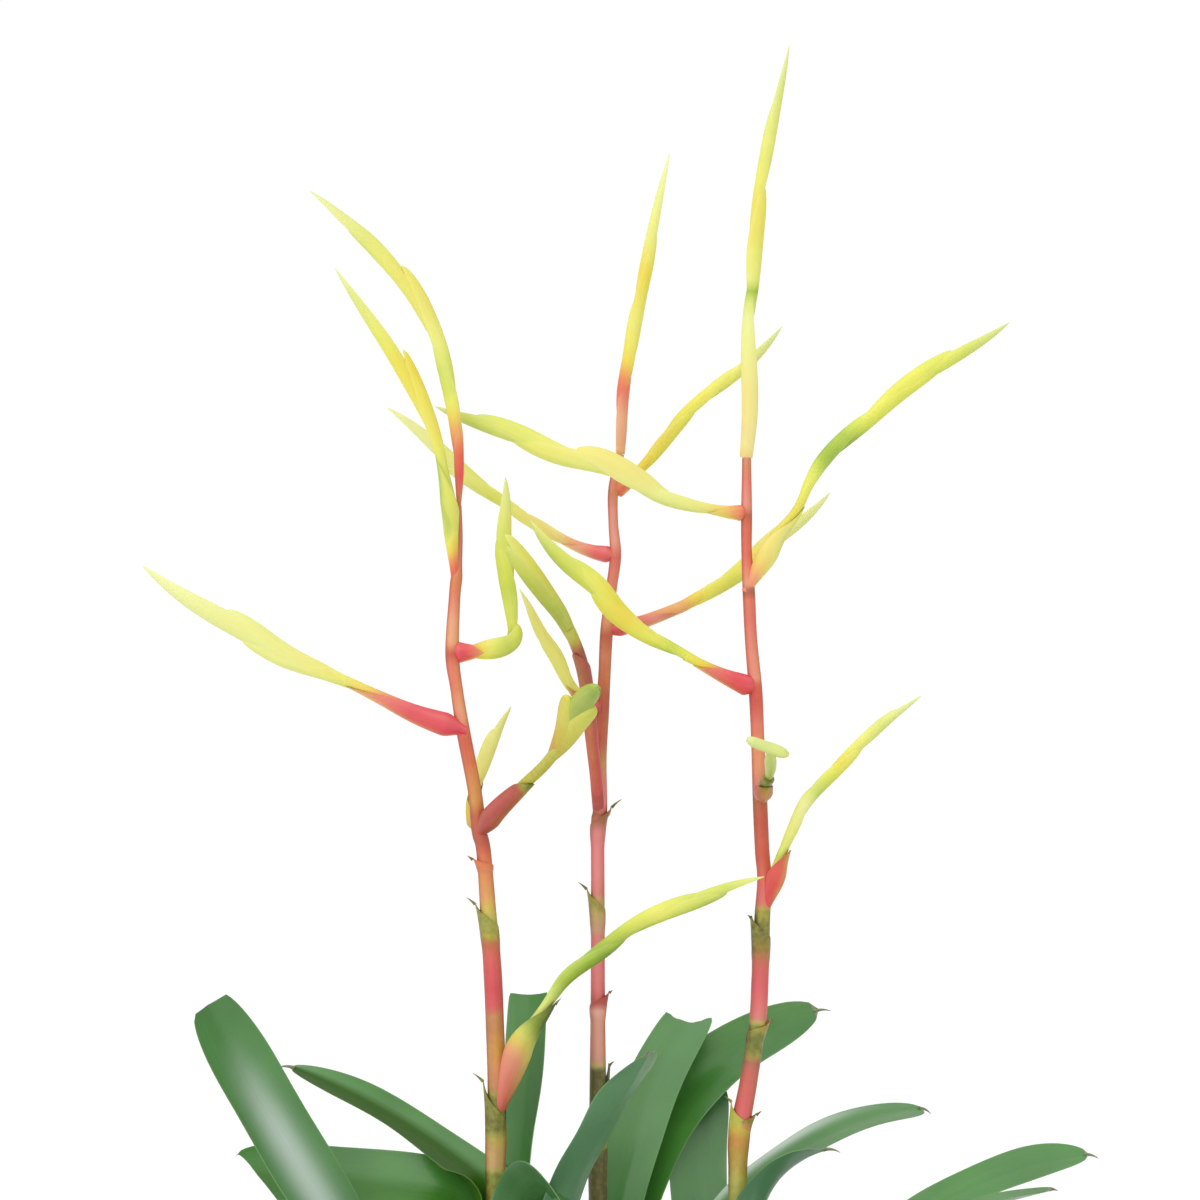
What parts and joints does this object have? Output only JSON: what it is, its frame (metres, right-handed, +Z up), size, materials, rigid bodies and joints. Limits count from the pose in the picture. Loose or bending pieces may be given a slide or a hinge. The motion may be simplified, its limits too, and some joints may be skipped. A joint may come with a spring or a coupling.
{
  "type": "flaming sword bromeliad",
  "caption": "Flaming sword bromeliad with branched flower stalks: a clump of strap-leaf rosettes with red zigzag stalks and slender yellow-green flower spikes, cut flat at the root.",
  "frame": {"origin": "middle of the cut face under the middle rosette, on the surface that the plant stands on", "axes": "+Z up along the stalks, +X to the right and -Y to the front as the plant is seen from its front"},
  "size_m": [0.4309, 0.2683, 0.6461],
  "materials": {
    "leaf": "glossy",
    "spike": "satin",
    "stalk": "satin",
    "stock": "rough"
  },
  "bodies": {
    "root": {"rootstock": "stock", "stalk_left": "stalk", "stalk_middle": "stalk", "stalk_right": "stalk", "spike_left_1": "spike", "spike_left_2": "spike", "spike_left_3": "spike", "spike_left_4": "spike", "spike_left_5": "spike", "spike_left_6": "spike", "spike_left_7": "spike", "spike_middle_1": "spike", "spike_middle_2": "spike", "spike_middle_3": "spike", "spike_middle_4": "spike", "spike_middle_5": "spike", "spike_middle_6": "spike", "spike_right_1": "spike", "spike_right_2": "spike", "spike_right_3": "spike", "spike_right_4": "spike", "spike_right_5": "spike", "spike_right_6": "spike", "leaf_left_1": "leaf", "leaf_left_2": "leaf", "leaf_left_3": "leaf", "leaf_left_4": "leaf", "leaf_left_5": "leaf", "leaf_left_6": "leaf", "leaf_left_7": "leaf", "leaf_left_8": "leaf", "leaf_left_9": "leaf", "leaf_middle_1": "leaf", "leaf_middle_2": "leaf", "leaf_middle_3": "leaf", "leaf_middle_4": "leaf", "leaf_middle_5": "leaf", "leaf_middle_6": "leaf", "leaf_middle_7": "leaf", "leaf_middle_8": "leaf", "leaf_middle_9": "leaf", "leaf_right_1": "leaf", "leaf_right_2": "leaf", "leaf_right_3": "leaf", "leaf_right_4": "leaf", "leaf_right_5": "leaf", "leaf_right_6": "leaf", "leaf_right_7": "leaf", "leaf_right_8": "leaf", "leaf_right_9": "leaf"}
  },
  "joints": []
}
